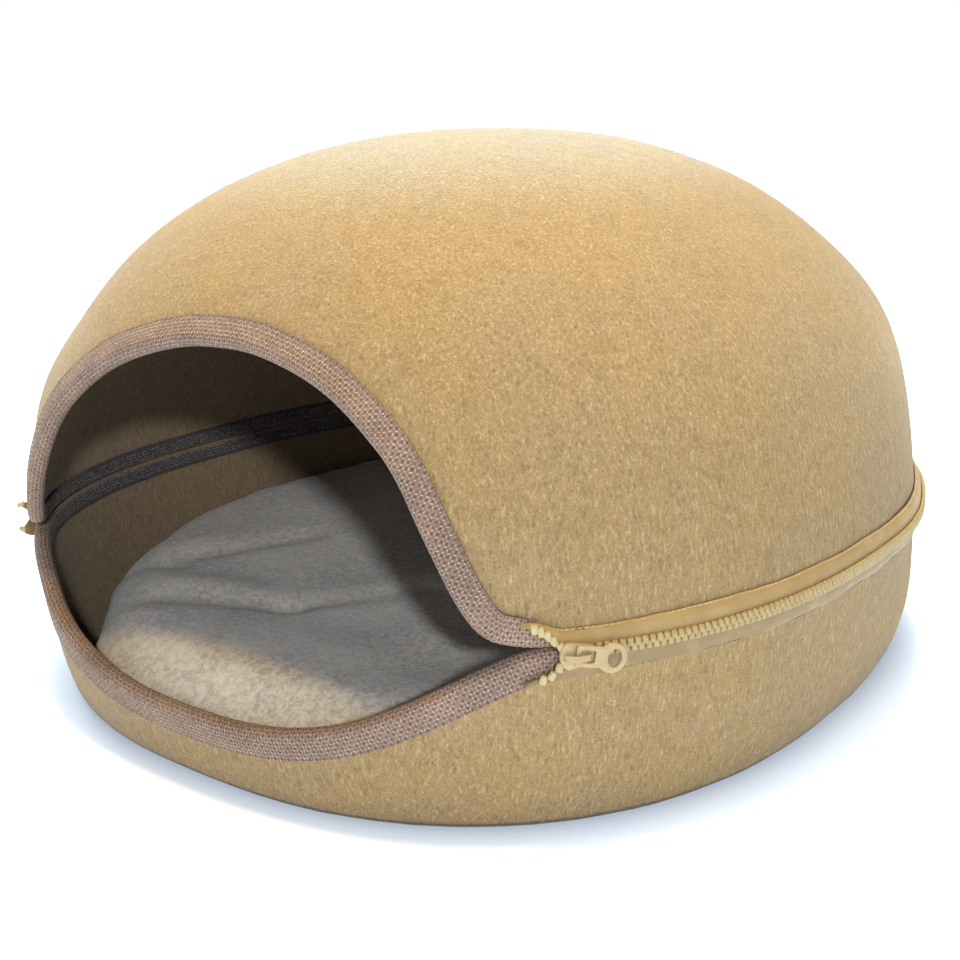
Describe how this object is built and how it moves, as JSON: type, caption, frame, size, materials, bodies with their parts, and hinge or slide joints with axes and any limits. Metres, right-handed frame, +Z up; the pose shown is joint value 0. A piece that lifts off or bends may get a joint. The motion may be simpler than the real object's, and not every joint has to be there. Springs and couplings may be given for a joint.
{
  "type": "felt cat cave",
  "caption": "Moulded felt dome zipped onto a moulded felt bowl, with an eye-shaped doorway edged in folded binding and a loose plush cushion inside.",
  "frame": {"origin": "centre of the flat underside, on the floor", "axes": "+Z up, the doorway faces -Y, the zip's slider is at the doorway's +X corner"},
  "size_m": [0.4515, 0.4706, 0.275],
  "materials": {
    "felt": "camel heather moulded felt, matt",
    "binding": "taupe woven mesh binding",
    "tape": "smooth golden zip tape",
    "teeth": "pale yellow moulded teeth",
    "slider": "cream yellow enamel",
    "plush": "grey short plush"
  },
  "bodies": {
    "root": {"dome_felt": "felt", "bowl_felt": "felt", "dome_binding": "binding", "bowl_binding": "binding", "zip_tape_upper": "tape", "zip_tape_lower": "tape", "zip_chain": "teeth", "zip_end_upper": "teeth", "zip_end_lower": "teeth", "zip_tail_upper": "teeth", "zip_tail_lower": "teeth", "slider_body": "slider", "slider_pull": "slider", "cushion": "plush"}
  },
  "joints": []
}
